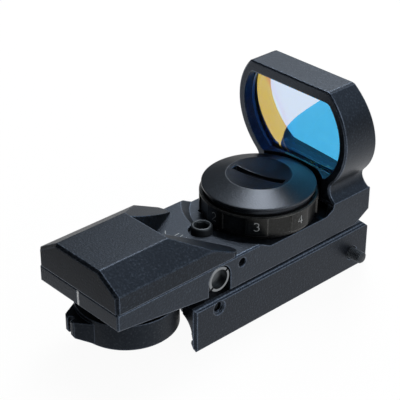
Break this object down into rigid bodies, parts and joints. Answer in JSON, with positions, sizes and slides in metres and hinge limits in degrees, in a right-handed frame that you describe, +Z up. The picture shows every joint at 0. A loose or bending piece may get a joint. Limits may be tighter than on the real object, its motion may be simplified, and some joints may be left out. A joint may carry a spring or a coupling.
{
  "type": "red dot finder",
  "caption": "Open reflex red dot finder on a split-jaw rail mount, with a flat-topped round lens hood, a numbered brightness dial over the battery, a hidden emitter and a reticle lever.",
  "frame": {"origin": "centre of the bounding box, at the height of the jaws' lower edge", "axes": "+X to the user's right, +Y forward along the line of sight from the eye end to the lens, +Z up"},
  "size_m": [0.036, 0.082, 0.0522],
  "materials": {
    "anodised_body": "black anodised, satin",
    "anodised_cover": "black anodised, satin",
    "anodised_dial": "black anodised, satin",
    "anodised_cap": "black anodised, satin",
    "anodised_selector": "black anodised, matt",
    "anodised_mount": "black anodised, satin",
    "bare_aluminium": "milled",
    "black_screw": "black oxide",
    "steel_screw": "plain",
    "steel": "ground",
    "coated_glass": "polished, part-reflecting coating",
    "silvered_glass": "polished",
    "clear_pane": "polished",
    "led_epoxy": "clear tinted",
    "circuit_board": "coated laminate",
    "brass_spring": "plain",
    "cell_steel": "nickel plated",
    "seal_rubber": "moulded",
    "wire_sheath": "extruded"
  },
  "bodies": {
    "mount": {"mount_base": "anodised_mount", "yaw_stud": "black_screw"},
    "jaw": {"clamp_jaw": "anodised_mount"},
    "front_clamp": {"front_clamp_screw": "black_screw"},
    "rear_clamp": {"rear_clamp_screw": "black_screw"},
    "swivel": {"swivel_plate": "bare_aluminium", "elevation_spring": "steel", "windage_spring": "steel"},
    "windage": {"windage_screw": "black_screw"},
    "sight": {"main_housing": "anodised_body", "lens": "coated_glass", "emitter_cover": "anodised_cover", "emitter_window": "clear_pane", "fold_mirror": "silvered_glass", "led_board": "circuit_board", "led": "led_epoxy", "selector_detent": "steel", "dial_board": "circuit_board", "dial_retainer": "steel", "retainer_screw": "steel_screw", "dial_detent": "steel", "pitch_pin": "steel", "cover_screws": "black_screw", "led_wires": "wire_sheath"},
    "elevation": {"elevation_screw": "black_screw"},
    "lock": {"lock_screw": "steel_screw"},
    "selector": {"reticle_selector": "anodised_selector", "selector_screw": "black_screw", "reticle_shaft": "steel", "reticle_disc": "steel", "disc_screw": "steel_screw"},
    "dial": {"brightness_dial": "anodised_dial", "dial_wiper": "brass_spring", "battery_contact": "brass_spring", "coin_cell": "cell_steel"},
    "seal": {"cap_seal": "seal_rubber"},
    "cap": {"battery_cap": "anodised_cap"}
  },
  "joints": [
    {"name": "jaw_slide", "type": "slide", "parent": "mount", "child": "jaw", "axis": [-1, 0, 0], "range_m": [0, 0.002]},
    {"name": "front_clamp_turn", "type": "hinge", "parent": "jaw", "child": "front_clamp", "pos_m": [-0.012, 0.03562, 0.0047], "axis": [-1, 0, 0], "range_deg": [0, 1441]},
    {"name": "rear_clamp_turn", "type": "hinge", "parent": "jaw", "child": "rear_clamp", "pos_m": [-0.012, -0.01024, 0.00936], "axis": [-1, 0, 0], "range_deg": [0, 1441]},
    {"name": "yaw", "type": "hinge", "parent": "mount", "child": "swivel", "pos_m": [0, 0.02452, 0.0133], "axis": [0, 0, 1], "range_deg": [-0.8, 0.8]},
    {"name": "windage_turn", "type": "hinge", "parent": "swivel", "child": "windage", "pos_m": [0.01, -0.01008, 0.01707], "axis": [1, 0, 0], "range_deg": [-346, 346]},
    {"name": "pitch", "type": "hinge", "parent": "swivel", "child": "sight", "pos_m": [0, 0.03202, 0.0153], "axis": [-1, 0, 0], "range_deg": [-0.25, 1.2]},
    {"name": "elevation_turn", "type": "hinge", "parent": "sight", "child": "elevation", "pos_m": [0, -0.00298, 0.02], "axis": [0, 0, 1], "range_deg": [-80, 380]},
    {"name": "lock_turn", "type": "hinge", "parent": "sight", "child": "lock", "pos_m": [0.008, -0.00298, 0.01864], "axis": [1, 0, 0], "range_deg": [0, 360]},
    {"name": "selector_turn", "type": "hinge", "parent": "sight", "child": "selector", "pos_m": [0, -0.02618, 0.01], "axis": [0, 0, 1], "range_deg": [-30, 60]},
    {"name": "brightness_turn", "type": "hinge", "parent": "sight", "child": "dial", "pos_m": [0, 0.01582, 0.022], "axis": [0, 0, 1], "range_deg": [-225, 90]},
    {"name": "cap_lift", "type": "slide", "parent": "dial", "child": "seal", "axis": [0, 0, 1], "range_m": [0, 0.003]},
    {"name": "cap_turn", "type": "hinge", "parent": "seal", "child": "cap", "pos_m": [0, 0.01582, 0.027], "axis": [0, 0, 1], "range_deg": [0, 1081]}
  ],
  "couplings": [
    {"joint": "front_clamp_turn", "follows": "jaw_slide", "rad_per_m": 12566},
    {"joint": "rear_clamp_turn", "follows": "jaw_slide", "rad_per_m": 12566},
    {"joint": "windage_turn", "follows": "yaw", "ratio": 431.65},
    {"joint": "elevation_turn", "follows": "pitch", "ratio": 314.16},
    {"joint": "cap_turn", "follows": "cap_lift", "rad_per_m": 6283.2}
  ]
}
